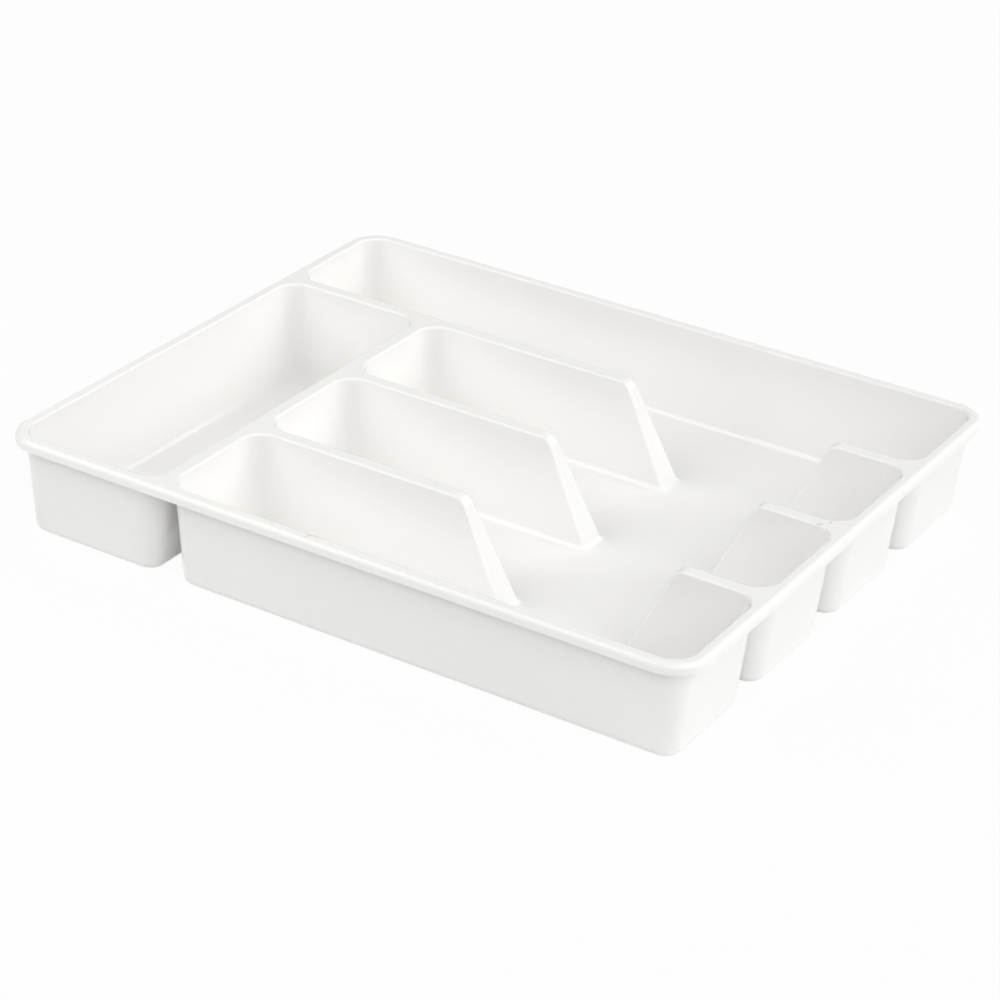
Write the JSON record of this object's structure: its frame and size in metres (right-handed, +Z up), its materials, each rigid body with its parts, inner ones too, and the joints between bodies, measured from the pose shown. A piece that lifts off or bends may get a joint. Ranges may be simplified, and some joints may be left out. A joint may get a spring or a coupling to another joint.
{
  "type": "cutlery tray",
  "caption": "White moulded drawer tray with a side compartment, cutlery bays between hollow dividers, and an open back compartment.",
  "frame": {"origin": "centre of the tray's footprint, on the surface it stands on", "axes": "+X from the side compartment towards the stubs (the long side), +Y towards the open back compartment, +Z up out of the compartments"},
  "size_m": [0.31, 0.26, 0.044],
  "materials": {
    "white_moulded_plastic": "white polypropylene with a soft satin gloss from a finely polished mould, bare, with faint scuffs on the rim"
  },
  "bodies": {
    "root": {"front_left_corner": "white_moulded_plastic", "front_right_corner": "white_moulded_plastic", "back_left_corner": "white_moulded_plastic", "back_right_corner": "white_moulded_plastic", "side_compartment_front_wall": "white_moulded_plastic", "front_wall": "white_moulded_plastic", "back_wall": "white_moulded_plastic", "side_compartment_left_wall": "white_moulded_plastic", "back_compartment_left_wall": "white_moulded_plastic", "front_bay_end_wall": "white_moulded_plastic", "middle_bay_end_wall": "white_moulded_plastic", "back_bay_end_wall": "white_moulded_plastic", "back_compartment_end_wall": "white_moulded_plastic", "cross_divider": "white_moulded_plastic", "side_compartment_back_wall": "white_moulded_plastic", "front_divider": "white_moulded_plastic", "middle_divider": "white_moulded_plastic", "back_divider": "white_moulded_plastic", "front_stub": "white_moulded_plastic", "middle_stub": "white_moulded_plastic", "back_stub": "white_moulded_plastic", "side_compartment_floor": "white_moulded_plastic", "cutlery_floor": "white_moulded_plastic", "back_compartment_floor": "white_moulded_plastic"}
  },
  "joints": []
}
